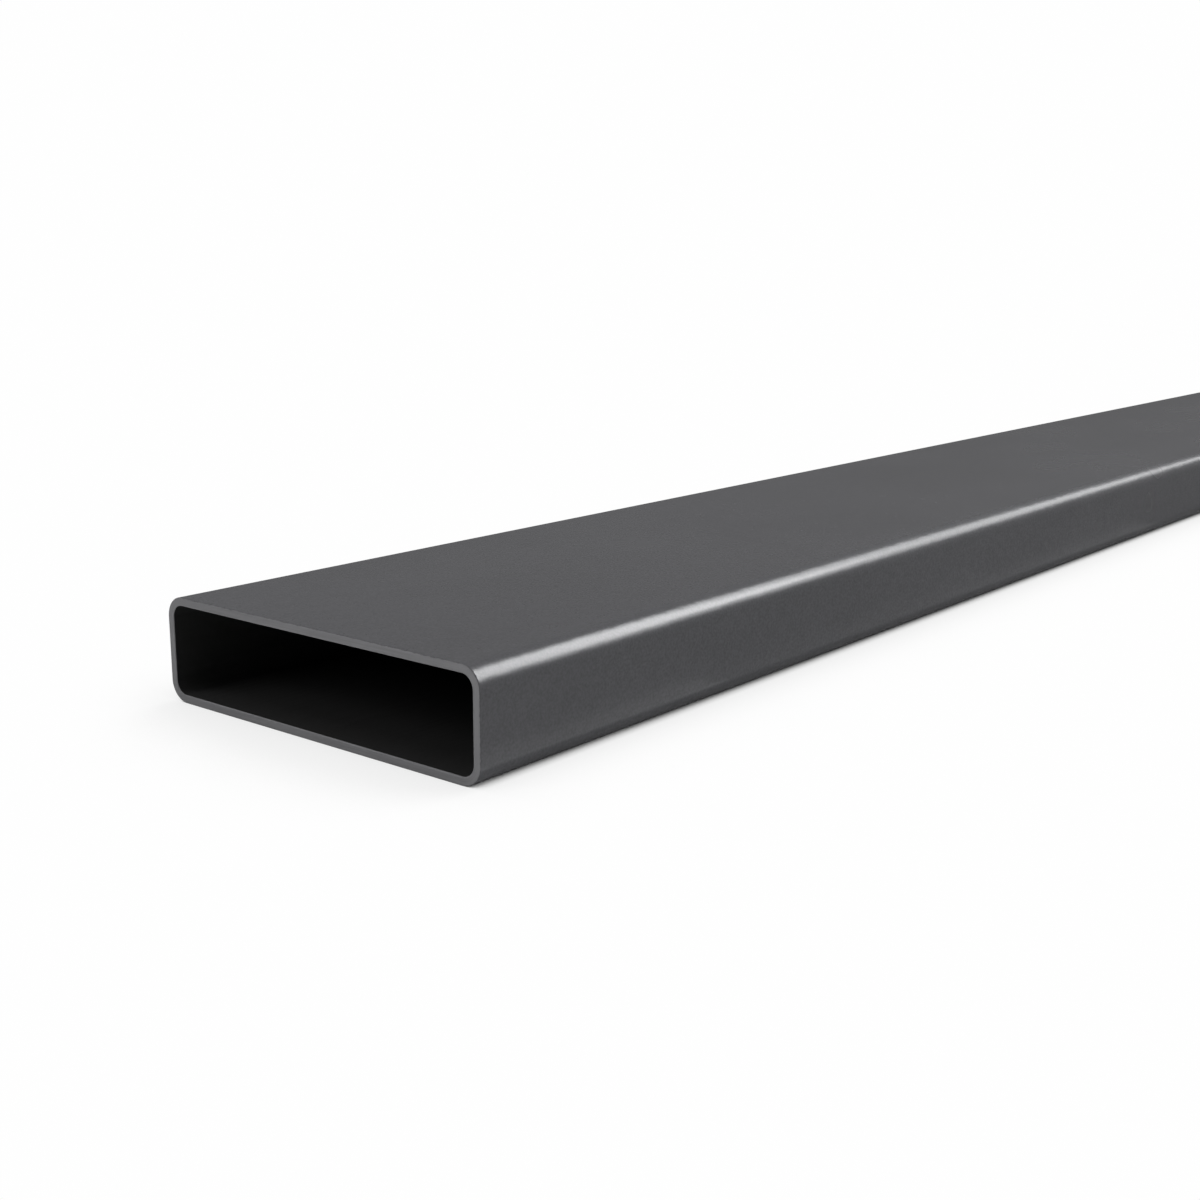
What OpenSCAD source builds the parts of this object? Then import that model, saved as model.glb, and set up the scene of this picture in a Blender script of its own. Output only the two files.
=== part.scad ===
// Aluminium fence slat: a rectangular tube with rounded corners, extruded in one piece,
// sawn square to length and deburred at both ends.
// It lies on its back face. X runs along the length, Y across the width and Z through the
// thickness, and the origin is at the middle of the back face.

/* [Slat] */
// Length between the two sawn ends
slat_length = 1800; // [300:50:6500]
// Width of the slat, across its two broad faces
slat_width = 65; // [38:0.5:150]
// Thickness of the slat, from its back face to its front face
slat_thickness = 16.5; // [12:0.5:40]

/* [Extruded section] */
// Thickness of the wall, with its coating
wall = 1.3; // [0.8:0.1:2.5]
// Outer radius of the four long corners
corner_radius = 3.3; // [2.8:0.1:5.5]

/* [Sawn ends] */
// Leg of the chamfer that deburring leaves on each sawn edge
deburr = 0.2; // [0.05:0.05:0.35]

/* [Hidden] */
$fn = 96;
outer_size = [slat_width, slat_thickness];
bore_size = outer_size - 2 * [wall, wall];
// The wall has one thickness all round, so both radii of a corner share a centre
bore_radius = corner_radius - wall;
// How far a chamfer's cutting shape runs past the faces that it cuts
overcut = deburr / 2;

// Rectangle with a true arc at each corner
module rounded_rectangle(size, radius) {
    centre = size / 2 - [radius, radius];
    square([size.x, 2 * centre.y], center = true);
    square([2 * centre.x, size.y], center = true);
    for (x = [-centre.x, centre.x], y = [-centre.y, centre.y])
        translate([x, y]) circle(radius);
}

// Section of the extrusion, with the width along X and the thickness along Y
module section() {
    difference() {
        rounded_rectangle(outer_size, corner_radius);
        rounded_rectangle(bore_size, bore_radius);
    }
}

// Carries a 2D shape round a rounded rectangle: straight along each side, then turned round
// the corner that follows it. The shape's X is the distance from the corner's centre.
module carry_round(size, radius) {
    for (side = [0 : 3]) {
        half = (side % 2 == 0 ? size : [size.y, size.x]) / 2;
        centre = half - [radius, radius];
        rotate(90 * side) {
            translate([centre.x, 0])
                rotate([90, 0, 0]) linear_extrude(2 * centre.y, center = true) children();
            translate(centre) rotate_extrude(angle = 90) children();
        }
    }
}

// What deburring takes off the outer and inner edges of an end sawn at Z = 0
module deburr_cut() {
    low = -overcut;
    high = deburr + overcut;
    carry_round(outer_size, corner_radius)
        translate([corner_radius, 0])
            polygon([[-high, low], [overcut, low], [overcut, high]]);
    carry_round(bore_size, bore_radius)
        translate([bore_radius, 0])
            polygon([[high, low], [-overcut, low], [-overcut, high]]);
}

// Turns an upright extrusion onto its back face, with its length along X
module lay_flat() {
    translate([0, 0, slat_thickness / 2]) rotate([90, 0, 90]) children();
}

module slat() {
    color("#5a5a5d")
        lay_flat()
            difference() {
                linear_extrude(slat_length, center = true) section();
                for (end = [0, 1])
                    mirror([0, 0, end])
                        translate([0, 0, -slat_length / 2]) deburr_cut();
            }
}

slat();
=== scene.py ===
"""Aluminium fence slat: a powder-coated rectangular tube, lying on a white studio floor.

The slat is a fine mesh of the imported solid's own section, with true rounded corners, and it
stands for that solid. Everything is in metres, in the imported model's frame: X runs along the
length, Y across the width and Z up.
"""
import math

import bpy
from mathutils import Matrix, Vector


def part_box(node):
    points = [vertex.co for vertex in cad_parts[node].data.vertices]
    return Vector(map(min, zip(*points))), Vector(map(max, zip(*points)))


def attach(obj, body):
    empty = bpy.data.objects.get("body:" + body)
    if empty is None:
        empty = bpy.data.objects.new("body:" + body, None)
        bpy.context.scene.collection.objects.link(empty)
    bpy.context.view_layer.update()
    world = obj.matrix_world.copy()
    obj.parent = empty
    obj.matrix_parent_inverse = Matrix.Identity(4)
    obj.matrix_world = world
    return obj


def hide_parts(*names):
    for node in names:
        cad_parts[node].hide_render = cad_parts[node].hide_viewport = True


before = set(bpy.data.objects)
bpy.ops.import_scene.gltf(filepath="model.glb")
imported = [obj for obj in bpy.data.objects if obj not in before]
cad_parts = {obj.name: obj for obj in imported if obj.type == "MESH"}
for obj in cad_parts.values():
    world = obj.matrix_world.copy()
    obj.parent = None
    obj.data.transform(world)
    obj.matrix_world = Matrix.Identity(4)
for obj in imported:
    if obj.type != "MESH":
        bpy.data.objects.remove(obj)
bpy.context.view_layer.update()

# Extruded section, beside the three overall sizes that come from the frame
LOW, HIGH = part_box("slat")
LENGTH, WIDTH, THICKNESS = HIGH - LOW
WALL = 0.0013
CORNER_RADIUS = 0.0033
DEBURR = 0.0002

# Middle of the near end's lower edge, from which the camera and the lamps are placed
NEAR_END = Vector((LOW.x, 0, LOW.z))

# Fineness of the mesh
CORNER_STEPS = 16
BROAD_STEPS = 12
NARROW_STEPS = 4
LENGTH_STEPS = 64
DEBURR_STEPS = 4
END_STRIP = 0.001

# Material zones of the mesh, numbered as its materials are
COAT_ZONE, RIM_ZONE, BORE_ZONE = 0, 1, 2

# Borders of the zones, as sums of the normals of the two rings of points that a face lies between.
# On the rim the sum along X is above the first value, or on the bore's side above the second, and
# in the bore the sum outwards is below the third.
RIM_FROM_OUTSIDE = 1.5
RIM_FROM_BORE = 0.8
BORE_OUTWARDS = -0.5

# Texture map of the mesh, named so that textures made from the materials use it: margin at both
# sides, and the lowest and highest V of each strip of the outside, of both ends and of the bore
UV_MAP = "OFBake"
UV_MARGIN = 0.005
UV_OUTSIDE = ((0.005, 0.265), (0.275, 0.535), (0.545, 0.805))
UV_RIGHT_END = (0.915, 0.95)
UV_BORE = (0.815, 0.905)
UV_LEFT_END = (0.96, 0.995)

# Camera, as fitted to the photo: angles in degrees, focal length and sensor in millimetres
CAMERA_FROM_NEAR_END = Vector((-0.13741, -0.16320, 0.06832))
CAMERA_YAW = 38.9805
CAMERA_PITCH = -12.8123
CAMERA_ROLL = -0.3030
FOCAL_LENGTH = 46.599
SENSOR_WIDTH = 36.0
CLIP_START = 0.01
CLIP_END = 600.0

# The part of a noise's range from 0 to 1 that most of it lies in
NOISE_RANGE = (0.3, 0.7)

# Powder coat: linear colour, and noise on three scales. Here and below, a lightness is the share of
# the colour that a noise adds or takes away, and a height is the depth of its bump.
COAT_GREY = (0.103, 0.103, 0.1095)
COAT_ROUGHNESS = 0.26
COAT_SPECULAR = 0.25
CLOUD_SIZE = 0.035
CLOUD_STRETCH = (1.6, 1, 1)
CLOUD_LIGHTNESS = 0.05
CLOUD_ROUGHNESS = 0.02
PEEL_SIZE = 0.0025
PEEL_LIGHTNESS = 0.02
PEEL_HEIGHT = 0.00008
GRAIN_SIZE = 0.0004
GRAIN_LIGHTNESS = 0.11
GRAIN_HEIGHT = 0.000004

# Sawn ends: streaks that follow the wall, and two ragged edges, as ranges of the inset from the
# outside of the wall. The paler line along the inner edge is a painted highlight.
RIM_GREY = (0.190, 0.1895, 0.1965)
RIM_ROUGHNESS = 0.5
STREAK_LENGTH = 0.012
STREAK_STRETCH = 50.0
STREAK_LIGHTNESS = 0.1
STREAK_ROUGHNESS = 0.05
STREAK_HEIGHT = 0.00001
RAGGED_SIZE = 0.0007
RAGGED_DEPTH = 0.0001
OUTER_EDGE = (0.0, 0.6 * DEBURR)
INNER_EDGE = (WALL - 1.5 * DEBURR, WALL - 0.5 * DEBURR)
INNER_EDGE_PAINTED_HIGHLIGHT = 0.14

# Bore: a grey darkened as painted shade of the hollow, with die lines
BORE_PAINTED_SHADE_GREY = (0.026, 0.026, 0.026)
BORE_ROUGHNESS = 0.65
BORE_SPECULAR = 0.1
LINE_WIDTH = 0.0008
LINE_STRETCH = (200, 1, 1)
LINE_LIGHTNESS = 0.06
LINE_ROUGHNESS = 0.05
LINE_HEIGHT = 0.00001

# White surroundings: how bright they are as light on the slat, and mirrored in it
WHITE = (0.993, 0.993, 0.993)
FLOOR_REACH = 60.0
FLOOR_GAP = 0.00002
FLOOR_PALENESS = 0.95
AMBIENT = 0.14
MIRRORED = 0.13
MIRRORED_TINT = (0.985, 0.99, 1.0)

# Shadow on the floor, from how much of a light the slat hides there: a dark one under the round
# edges, and a faint one with a soft border that falls away from the light on the right. A lean is
# the direction towards the middle of the light, and a reach is how far off the slat still hides it.
CONTACT_LEAN = (0.0, 0.0, 1.0)
CONTACT_REACH = 0.1
CONTACT_DEPTH = 1.36
CONTACT_FADE = 4.6
CONTACT_SAMPLES = 8
CAST_LEAN = (1.0, -0.2, 1.0)
CAST_REACH = 0.045
CAST_DEPTH = 0.098
CAST_BORDER = (0.13, 0.5)
CAST_SAMPLES = 16

# Strips of light that lie end to end on the floor: how far their middle line is from the near side,
# their width, their height above the slat's lower face, and the way they face
GLINT_OFFSET = 0.005
GLINT_WIDTH = 0.006
GLINT_HEIGHT = 0.0006
GLINT_LEAN = Vector((0, 0.1, 1))


def with_alpha(colour):
    """A linear colour with its alpha."""
    return (*colour, 1.0)


def section_loop(inset):
    """Points round the section, taken in from its outside by inset, each with its outward direction."""
    half_y = WIDTH / 2 - CORNER_RADIUS
    half_z = THICKNESS / 2 - CORNER_RADIUS
    middle = LOW.z + THICKNESS / 2
    signs = ((1, 1), (-1, 1), (-1, -1), (1, -1))
    centres = [Vector((0, sy * half_y, middle + sz * half_z)) for sy, sz in signs]
    points = []
    for quarter, centre in enumerate(centres):
        for step in range(CORNER_STEPS + 1):
            angle = math.radians(90) * (quarter + step / CORNER_STEPS)
            out = Vector((0, math.cos(angle), math.sin(angle)))
            points.append((centre + (CORNER_RADIUS - inset) * out, out))
        flat = centres[(quarter + 1) % len(centres)] - centre
        flat_steps = BROAD_STEPS if quarter % 2 == 0 else NARROW_STEPS
        start, out = points[-1]
        for step in range(1, flat_steps):
            points.append((start + flat * step / flat_steps, out))
    return points


def lengthwise_profile():
    """Outline of the wall cut along the length: place along X, inset from the outside, and the
    share of the normal that points along X and outwards. It runs round the wall once."""
    end = LENGTH / 2 - DEBURR
    inner = end - END_STRIP
    stations = [-end] + [inner * (2 * i / LENGTH_STEPS - 1) for i in range(LENGTH_STEPS + 1)] + [end]
    turns = [math.radians(90) * i / DEBURR_STEPS for i in range(1, DEBURR_STEPS)]
    arc = [(math.sin(turn), math.cos(turn)) for turn in turns]
    outside = [(x, 0.0, 0.0, 1.0) for x in stations]
    outer_edge = [(end + DEBURR * s, DEBURR * (1 - c), s, c) for s, c in arc]
    rim = [(end + DEBURR, DEBURR, 1.0, 0.0), (end + DEBURR, WALL - DEBURR, 1.0, 0.0)]
    inner_edge = [(end + DEBURR * c, WALL - DEBURR * (1 - s), c, -s) for s, c in arc]
    right_end = outer_edge + rim + inner_edge
    bore = [(x, WALL, 0.0, -1.0) for x in reversed(stations)]
    left_end = [(-x, inset, -along, out) for x, inset, along, out in reversed(right_end)]
    return outside + right_end + bore + left_end


def running_length(points):
    """Distance along a closed line to each of its points, and round to the first again."""
    lengths = [0.0]
    for here, there in zip(points, points[1:] + points[:1]):
        lengths.append(lengths[-1] + (there - here).length)
    return lengths


def uv_strips():
    """Strips of the texture map in the profile's order, as (first ring, last ring, range of V,
    whether the slat's length runs along U). The ends are enlarged and the bore is reduced."""
    length = LENGTH_STEPS + 2
    end = 2 * DEBURR_STEPS + 1
    cuts = [length * i // len(UV_OUTSIDE) for i in range(len(UV_OUTSIDE) + 1)]
    strips = [(first, last, rows, True) for first, last, rows in zip(cuts, cuts[1:], UV_OUTSIDE)]
    strips.append((length, length + end, UV_RIGHT_END, False))
    strips.append((length + end, 2 * length + end, UV_BORE, True))
    strips.append((2 * length + end, 2 * (length + end), UV_LEFT_END, False))
    return strips


def add_uv_map(mesh, profile):
    """Lays the faces out in strips, in the order in which the mesh lists them."""
    along = running_length([Vector((x, inset)) for x, inset, _, _ in profile])
    around = running_length([point for point, _ in section_loop(0.0)])
    flat = []
    for first, last, (low, high), lengthwise in uv_strips():
        for ring in range(first, last):
            for k in range(len(around) - 1):
                for r, s in ((ring, k), (ring, k + 1), (ring + 1, k + 1), (ring + 1, k)):
                    a = (along[r] - along[first]) / (along[last] - along[first])
                    b = around[s] / around[-1]
                    u, v = (a, b) if lengthwise else (b, a)
                    flat += (UV_MARGIN + u * (1 - 2 * UV_MARGIN), low + v * (high - low))
    mesh.uv_layers.new(name=UV_MAP).data.foreach_set("uv", flat)


def face_zone(here, there):
    """The material zone of the faces between two neighbouring points of the profile."""
    along = abs(here[2]) + abs(there[2])
    outwards = here[3] + there[3]
    if along > (RIM_FROM_OUTSIDE if outwards > 0 else RIM_FROM_BORE):
        return RIM_ZONE
    return BORE_ZONE if outwards < BORE_OUTWARDS else COAT_ZONE


def slat_mesh():
    """Closed mesh of the slat, with its material zones, insets, texture map and smooth normals."""
    profile = lengthwise_profile()
    vertices, normals, insets = [], [], []
    for x, inset, along, outwards in profile:
        for point, out in section_loop(inset):
            vertices.append((x, point.y, point.z))
            normals.append(Vector((along, 0, 0)) + outwards * out)
            insets.append(inset)
    count = len(vertices) // len(profile)
    faces, zones = [], []
    for ring, here in enumerate(profile):
        after = (ring + 1) % len(profile)
        zones += [face_zone(here, profile[after])] * count
        for k in range(count):
            n = (k + 1) % count
            faces.append((ring * count + k, ring * count + n, after * count + n, after * count + k))
    mesh = bpy.data.meshes.new("fence_slat")
    mesh.from_pydata(vertices, [], faces)
    mesh.polygons.foreach_set("material_index", zones)
    mesh.polygons.foreach_set("use_smooth", [True] * len(faces))
    mesh.attributes.new("inset", "FLOAT", "POINT").data.foreach_set("value", insets)
    add_uv_map(mesh, profile)
    mesh.update()
    mesh.normals_split_custom_set_from_vertices(normals)
    return mesh


def new_material(name):
    """A node material, with its node tree, its Principled shader and the object coordinates."""
    material = bpy.data.materials.new(name)
    material.use_nodes = True
    tree = material.node_tree
    shader = tree.nodes["Principled BSDF"]
    place = tree.nodes.new("ShaderNodeTexCoord").outputs["Object"]
    return material, tree, shader, place


def noise(tree, place, size, detail=2.0, stretch=(1, 1, 1)):
    """Noise from about 0 to 1 whose clouds are about size metres across, drawn out by stretch."""
    mapping = tree.nodes.new("ShaderNodeMapping")
    mapping.inputs["Scale"].default_value = [1 / (size * s) for s in stretch]
    texture = tree.nodes.new("ShaderNodeTexNoise")
    texture.inputs["Scale"].default_value = 1.0
    texture.inputs["Detail"].default_value = detail
    tree.links.new(place, mapping.inputs["Vector"])
    tree.links.new(mapping.outputs["Vector"], texture.inputs["Vector"])
    return texture.outputs["Fac"]


def span(tree, value, source, target, kind="LINEAR"):
    """value, taken from the range source to the range target. kind says how it goes between them."""
    node = tree.nodes.new("ShaderNodeMapRange")
    node.interpolation_type = kind
    for name, limits in (("From", source), ("To", target)):
        node.inputs[name + " Min"].default_value = limits[0]
        node.inputs[name + " Max"].default_value = limits[1]
    tree.links.new(value, node.inputs["Value"])
    return node.outputs["Result"]


def vary(tree, value, middle, amount):
    """middle, made smaller or larger by up to amount as a noise value says."""
    return span(tree, value, NOISE_RANGE, (middle - amount, middle + amount))


def math_node(tree, operation, first, second):
    """The result of an operation on two sockets or numbers."""
    node = tree.nodes.new("ShaderNodeMath")
    node.operation = operation
    for socket, value in zip(node.inputs, (first, second)):
        if isinstance(value, (int, float)):
            socket.default_value = value
        else:
            tree.links.new(value, socket)
    return node.outputs["Value"]


def shade(tree, colour, factor):
    """colour, made lighter or darker by factor."""
    node = tree.nodes.new("ShaderNodeVectorMath")
    node.operation = "SCALE"
    node.inputs[0].default_value = colour
    tree.links.new(factor, node.inputs["Scale"])
    return node.outputs["Vector"]


def bump(tree, shader, heights):
    """Bump on the shader from (height socket, distance in metres) pairs."""
    normal = None
    for height, distance in heights:
        node = tree.nodes.new("ShaderNodeBump")
        node.inputs["Strength"].default_value = 1.0
        node.inputs["Distance"].default_value = distance
        tree.links.new(height, node.inputs["Height"])
        if normal:
            tree.links.new(normal, node.inputs["Normal"])
        normal = node.outputs["Normal"]
    tree.links.new(normal, shader.inputs["Normal"])


def coat_material():
    """Satin powder coat: faint clouds, a slight orange peel and fine grain."""
    material, tree, shader, place = new_material("powder_coat")
    clouds = noise(tree, place, CLOUD_SIZE, detail=3.0, stretch=CLOUD_STRETCH)
    peel = noise(tree, place, PEEL_SIZE)
    grain = noise(tree, place, GRAIN_SIZE)
    lightness = vary(tree, clouds, 1.0, CLOUD_LIGHTNESS)
    for finer, amount in ((peel, PEEL_LIGHTNESS), (grain, GRAIN_LIGHTNESS)):
        lightness = math_node(tree, "ADD", lightness, vary(tree, finer, 0.0, amount))
    tree.links.new(shade(tree, COAT_GREY, lightness), shader.inputs["Base Color"])
    tree.links.new(vary(tree, clouds, COAT_ROUGHNESS, CLOUD_ROUGHNESS), shader.inputs["Roughness"])
    shader.inputs["Specular IOR Level"].default_value = COAT_SPECULAR
    bump(tree, shader, [(peel, PEEL_HEIGHT), (grain, GRAIN_HEIGHT)])
    return material


def wall_streaks(tree, place):
    """How far in from the outside of the wall a place is, and noise in streaks that follow the wall."""
    inset = tree.nodes.new("ShaderNodeAttribute")
    inset.attribute_name = "inset"
    axes = tree.nodes.new("ShaderNodeSeparateXYZ")
    tree.links.new(place, axes.inputs["Vector"])
    across = math_node(tree, "MULTIPLY", inset.outputs["Fac"], STREAK_STRETCH)
    along = math_node(tree, "ADD", axes.outputs["X"], axes.outputs["Y"])
    stretched = tree.nodes.new("ShaderNodeCombineXYZ")
    tree.links.new(across, stretched.inputs["X"])
    tree.links.new(along, stretched.inputs["Y"])
    tree.links.new(axes.outputs["Z"], stretched.inputs["Z"])
    return inset.outputs["Fac"], noise(tree, stretched.outputs["Vector"], STREAK_LENGTH, detail=3.0)


def rim_material():
    """Sawn end: lighter than the faces, with fine streaks round the wall, a painted highlight as a paler
    line along the deburred inner edge, and a ragged outer edge where the coat of the faces ends."""
    material, tree, shader, place = new_material("sawn_end")
    inset, streaks = wall_streaks(tree, place)
    ragged = math_node(tree, "ADD", inset, vary(tree, noise(tree, place, RAGGED_SIZE), 0.0, RAGGED_DEPTH))
    outer_edge = span(tree, ragged, OUTER_EDGE, (COAT_GREY[1] / RIM_GREY[1], 1.0))
    # Painted highlight: a paler line along the deburred inner edge
    inner_edge = span(tree, ragged, INNER_EDGE, (0.0, INNER_EDGE_PAINTED_HIGHLIGHT))
    streaked = math_node(tree, "ADD", vary(tree, streaks, 1.0, STREAK_LIGHTNESS), inner_edge)
    lightness = math_node(tree, "MULTIPLY", streaked, outer_edge)
    tree.links.new(shade(tree, RIM_GREY, lightness), shader.inputs["Base Color"])
    tree.links.new(vary(tree, streaks, RIM_ROUGHNESS, STREAK_ROUGHNESS), shader.inputs["Roughness"])
    shader.inputs["Specular IOR Level"].default_value = COAT_SPECULAR
    bump(tree, shader, [(streaks, STREAK_HEIGHT)])
    return material


def bore_painted_shade_material():
    """Bore: dull, its grey darkened as painted shade of the hollow, with die lines along its length."""
    material, tree, shader, place = new_material("bore")
    lines = noise(tree, place, LINE_WIDTH, stretch=LINE_STRETCH)
    lightness = vary(tree, lines, 1.0, LINE_LIGHTNESS)
    # The bore's base colour is darkened as painted shade of the hollow
    tree.links.new(shade(tree, BORE_PAINTED_SHADE_GREY, lightness), shader.inputs["Base Color"])
    tree.links.new(vary(tree, lines, BORE_ROUGHNESS, LINE_ROUGHNESS), shader.inputs["Roughness"])
    shader.inputs["Specular IOR Level"].default_value = BORE_SPECULAR
    bump(tree, shader, [(lines, LINE_HEIGHT)])
    return material


def link_object(name, data):
    """A new object in the scene."""
    made = bpy.data.objects.new(name, data)
    bpy.context.scene.collection.objects.link(made)
    return made


def make_slat():
    """The slat's dressed piece, which stands for the CAD node."""
    mesh = slat_mesh()
    for material in (coat_material(), rim_material(), bore_painted_shade_material()):
        mesh.materials.append(material)
    slat = link_object("fence_slat", mesh)
    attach(slat, "root")
    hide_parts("slat")


def ray_kinds(tree):
    """1 or 0 for rays that show the surroundings straight or through glass, and for mirrored rays."""
    path = tree.nodes.new("ShaderNodeLightPath").outputs
    straight = math_node(tree, "MAXIMUM", path["Is Camera Ray"], path["Is Transmission Ray"])
    return straight, path["Is Glossy Ray"]


def brightness(tree, straight, mirrored, level):
    """How bright the surroundings are: white to a straight ray, dimmer to a mirrored one, and of the
    given level to any other."""
    node = tree.nodes.new("ShaderNodeMix")
    node.inputs["A"].default_value = level
    node.inputs["B"].default_value = MIRRORED
    tree.links.new(mirrored, node.inputs["Factor"])
    return math_node(tree, "MAXIMUM", node.outputs["Result"], straight)


def hidden_light(tree, lean, reach, samples):
    """The share of a broad light around the direction lean that the slat hides from the floor."""
    direction = tree.nodes.new("ShaderNodeVectorMath")
    direction.operation = "NORMALIZE"
    direction.inputs[0].default_value = lean
    open_sky = tree.nodes.new("ShaderNodeAmbientOcclusion")
    open_sky.samples = samples
    open_sky.inputs["Distance"].default_value = reach
    tree.links.new(direction.outputs["Vector"], open_sky.inputs["Normal"])
    return math_node(tree, "SUBTRACT", 1.0, open_sky.outputs["AO"])


def shadow(tree):
    """How much darker the floor is around the slat."""
    under = hidden_light(tree, CONTACT_LEAN, CONTACT_REACH, CONTACT_SAMPLES)
    contact = math_node(tree, "MULTIPLY", math_node(tree, "POWER", under, CONTACT_FADE), CONTACT_DEPTH)
    beside = hidden_light(tree, CAST_LEAN, CAST_REACH, CAST_SAMPLES)
    cast = span(tree, beside, CAST_BORDER, (0.0, CAST_DEPTH), "SMOOTHSTEP")
    return math_node(tree, "ADD", contact, cast)


def floor_material():
    """White floor with the slat's shadow to straight and mirrored rays. Other light bounces off it
    as off a pale floor with the same shadow."""
    material = bpy.data.materials.new("white_floor")
    material.use_nodes = True
    tree = material.node_tree
    tree.nodes.remove(tree.nodes["Principled BSDF"])
    white = tree.nodes.new("ShaderNodeEmission")
    white.inputs["Color"].default_value = with_alpha(WHITE)
    straight, mirrored = ray_kinds(tree)
    glow = brightness(tree, straight, mirrored, 0.0)
    light = math_node(tree, "MAXIMUM", math_node(tree, "SUBTRACT", 1.0, shadow(tree)), 0.0)
    tree.links.new(math_node(tree, "MULTIPLY", light, glow), white.inputs["Strength"])
    pale = tree.nodes.new("ShaderNodeBsdfDiffuse")
    tree.links.new(math_node(tree, "MULTIPLY", light, FLOOR_PALENESS), pale.inputs["Color"])
    mix = tree.nodes.new("ShaderNodeMixShader")
    tree.links.new(math_node(tree, "MAXIMUM", straight, mirrored), mix.inputs["Fac"])
    tree.links.new(pale.outputs["BSDF"], mix.inputs[1])
    tree.links.new(white.outputs["Emission"], mix.inputs[2])
    tree.links.new(mix.outputs["Shader"], tree.nodes["Material Output"].inputs["Surface"])
    return material


def make_floor():
    """A level floor just under the slat."""
    z = LOW.z - FLOOR_GAP
    corners = [(x * FLOOR_REACH, y * FLOOR_REACH, z) for x, y in ((-1, -1), (1, -1), (1, 1), (-1, 1))]
    mesh = bpy.data.meshes.new("floor")
    mesh.from_pydata(corners, [], [(0, 1, 2, 3)])
    mesh.materials.append(floor_material())
    floor = link_object("floor", mesh)


def make_world():
    """White surroundings, which light the slat faintly from all round."""
    world = bpy.data.worlds.new("white_surroundings")
    bpy.context.scene.world = world
    world.use_nodes = True
    tree = world.node_tree
    background = tree.nodes["Background"]
    background.inputs["Color"].default_value = with_alpha(WHITE)
    tree.links.new(brightness(tree, *ray_kinds(tree), AMBIENT), background.inputs["Strength"])


def softbox(name, place, aim, size, radiance, mirrored=False):
    """A rectangular lamp at place that faces aim, both from the near end. It either lights things or
    is only mirrored in them, and the camera doesn't see it."""
    data = bpy.data.lights.new(name, "AREA")
    data.shape = "RECTANGLE"
    data.size, data.size_y = size
    data.energy = radiance * math.pi * size[0] * size[1]
    if mirrored:
        data.color = MIRRORED_TINT
    lamp = link_object(name, data)
    lamp.location = NEAR_END + Vector(place)
    lamp.rotation_euler = (Vector(aim) - Vector(place)).to_track_quat("-Z", "Y").to_euler()
    lamp.visible_camera = False
    lamp.visible_diffuse = not mirrored
    lamp.visible_glossy = mirrored


def floor_glint(name, start, end, radiance):
    """A strip of light on the floor, from start to end along the near side, that is only mirrored."""
    place = Vector(((start + end) / 2, LOW.y - GLINT_OFFSET, GLINT_HEIGHT))
    softbox(name, place, place + GLINT_LEAN, (end - start, GLINT_WIDTH), radiance, mirrored=True)


def make_lamps():
    """A broad softbox overhead, a key on the right and a fill in front of the near end light the
    slat. A small softbox close by and a larger one farther off show only as the highlight along the
    near top corner, and two strips on the floor only as a glint low on the near side."""
    top_corner = (0.11, -0.03, 0.015)
    softbox("overhead_softbox", (0.45, 0.1, 1.6), aim=(0.45, 0, 0), size=(2.4, 1.6), radiance=1.45)
    softbox("side_key", (1.6, -1.0, 1.55), aim=top_corner, size=(2.0, 1.6), radiance=2.1)
    softbox("end_fill", (-1.5, 0.9, 1.25), aim=(0, 0, 0), size=(1.8, 1.2), radiance=2.7)
    softbox("close_highlight", (0.25, -0.186, 0.232), aim=top_corner, size=(0.293, 0.184),
            radiance=10.4, mirrored=True)
    softbox("far_highlight", (0.907, -0.468, 0.667), aim=top_corner, size=(1.091, 0.769),
            radiance=4.9, mirrored=True)
    floor_glint("floor_glint_near", start=-0.02, end=0.06, radiance=0.62)
    floor_glint("floor_glint_far", start=0.06, end=0.25, radiance=0.21)


def make_camera():
    """Camera at the photo's place, with the photo's field of view."""
    yaw, pitch, roll = (math.radians(a) for a in (CAMERA_YAW, CAMERA_PITCH, CAMERA_ROLL))
    ahead = Vector((math.cos(yaw) * math.cos(pitch), math.sin(yaw) * math.cos(pitch), math.sin(pitch)))
    right = Vector((math.sin(yaw), -math.cos(yaw), 0))
    level = Matrix((right, right.cross(ahead), -ahead)).transposed()
    turned = level @ Matrix.Rotation(-roll, 3, "Z")
    data = bpy.data.cameras.new("camera")
    data.sensor_width = SENSOR_WIDTH
    data.lens = FOCAL_LENGTH
    data.clip_start = CLIP_START
    data.clip_end = CLIP_END
    camera = link_object("camera", data)
    camera.matrix_world = Matrix.Translation(NEAR_END + CAMERA_FROM_NEAR_END) @ turned.to_4x4()
    bpy.context.scene.camera = camera


make_slat()
make_floor()
make_world()
make_lamps()
make_camera()
bpy.context.scene.view_settings.view_transform = "Standard"
